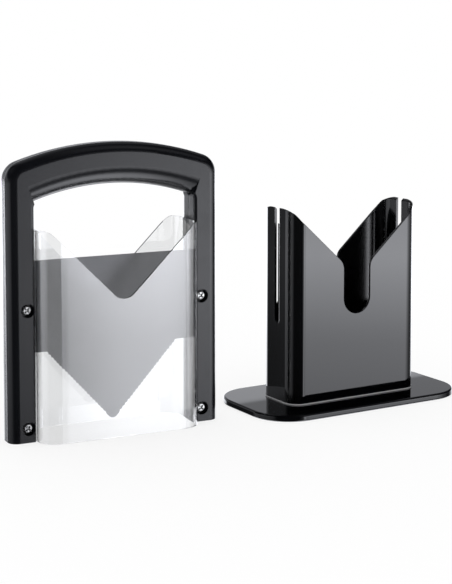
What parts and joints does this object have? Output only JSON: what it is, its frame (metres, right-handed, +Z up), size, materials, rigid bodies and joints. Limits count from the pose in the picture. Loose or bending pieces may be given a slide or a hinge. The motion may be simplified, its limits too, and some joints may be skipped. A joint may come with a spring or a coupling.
{
  "type": "bagel guillotine slicer",
  "caption": "Hand slicer for round buns: an upright holder on a base plate, with a lift-off blade carriage that has an arched handle and a clear sleeve, standing beside it.",
  "frame": {"origin": "middle of the base plate's underside", "axes": "+Z up, +X along the holder's width away from the carriage, -Y is the front"},
  "size_m": [0.4075, 0.107, 0.2335],
  "materials": {
    "holder_plastic": "polished",
    "base_plastic": "polished",
    "frame_plastic": "satin",
    "clear_plastic": "clear, polished",
    "blade_steel": "coated, satin",
    "screw_steel": "plated"
  },
  "bodies": {
    "holder": {"holder_body": "holder_plastic", "base_plate": "base_plastic", "base_screw_1": "screw_steel", "base_screw_2": "screw_steel", "base_screw_3": "screw_steel", "base_screw_4": "screw_steel"},
    "carriage": {"frame_front": "frame_plastic", "frame_rear": "frame_plastic", "shield_front": "clear_plastic", "shield_rear": "clear_plastic", "blade": "blade_steel", "frame_screw_1": "screw_steel", "frame_screw_2": "screw_steel", "frame_screw_3": "screw_steel", "frame_screw_4": "screw_steel"}
  },
  "joints": [
    {"name": "carriage_lift", "type": "slide", "parent": "holder", "child": "carriage", "axis": [0, 0, 1], "range_m": [0, 0.17]}
  ]
}
